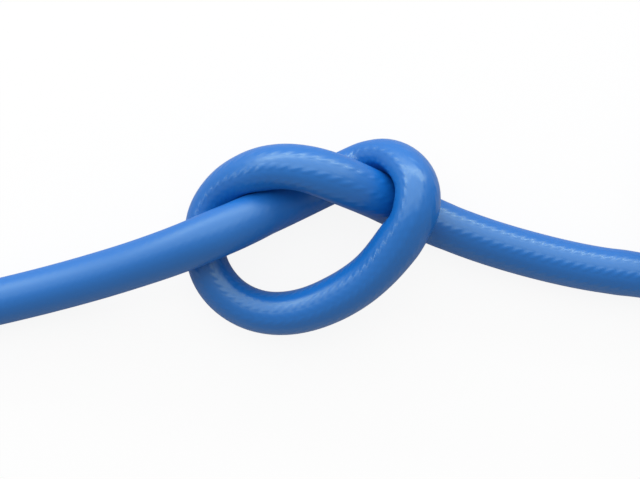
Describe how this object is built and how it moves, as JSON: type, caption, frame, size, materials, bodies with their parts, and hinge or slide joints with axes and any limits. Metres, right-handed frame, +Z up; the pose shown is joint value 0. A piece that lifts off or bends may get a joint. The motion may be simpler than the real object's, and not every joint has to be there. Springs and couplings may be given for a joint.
{
  "type": "dynamic climbing rope",
  "caption": "Dynamic climbing rope: coated blue sheath over parallel core strands, an overhand knot near one end, the rest folded into a strapped hank, lying flat.",
  "frame": {"origin": "on the floor, under the middle of the whole part's box", "axes": "+X from the knotted end towards the hank, +Y up the picture, +Z up from the floor"},
  "size_m": [0.339, 0.079, 0.0255],
  "materials": {
    "coated_blue": "satin coating",
    "core_white": "matte",
    "fused_blue": "melted",
    "tie_black": "matte webbing"
  },
  "bodies": {
    "root": {"sheath": "coated_blue", "core_strand_1": "core_white", "core_strand_2": "core_white", "core_strand_3": "core_white", "core_strand_4": "core_white", "core_strand_5": "core_white", "core_strand_6": "core_white", "core_strand_7": "core_white", "core_strand_8": "core_white", "core_strand_9": "core_white", "core_strand_10": "core_white", "core_strand_11": "core_white", "core_strand_12": "core_white", "end_seal_knot": "fused_blue", "end_seal_hank": "fused_blue", "hank_tie": "tie_black"}
  },
  "joints": []
}
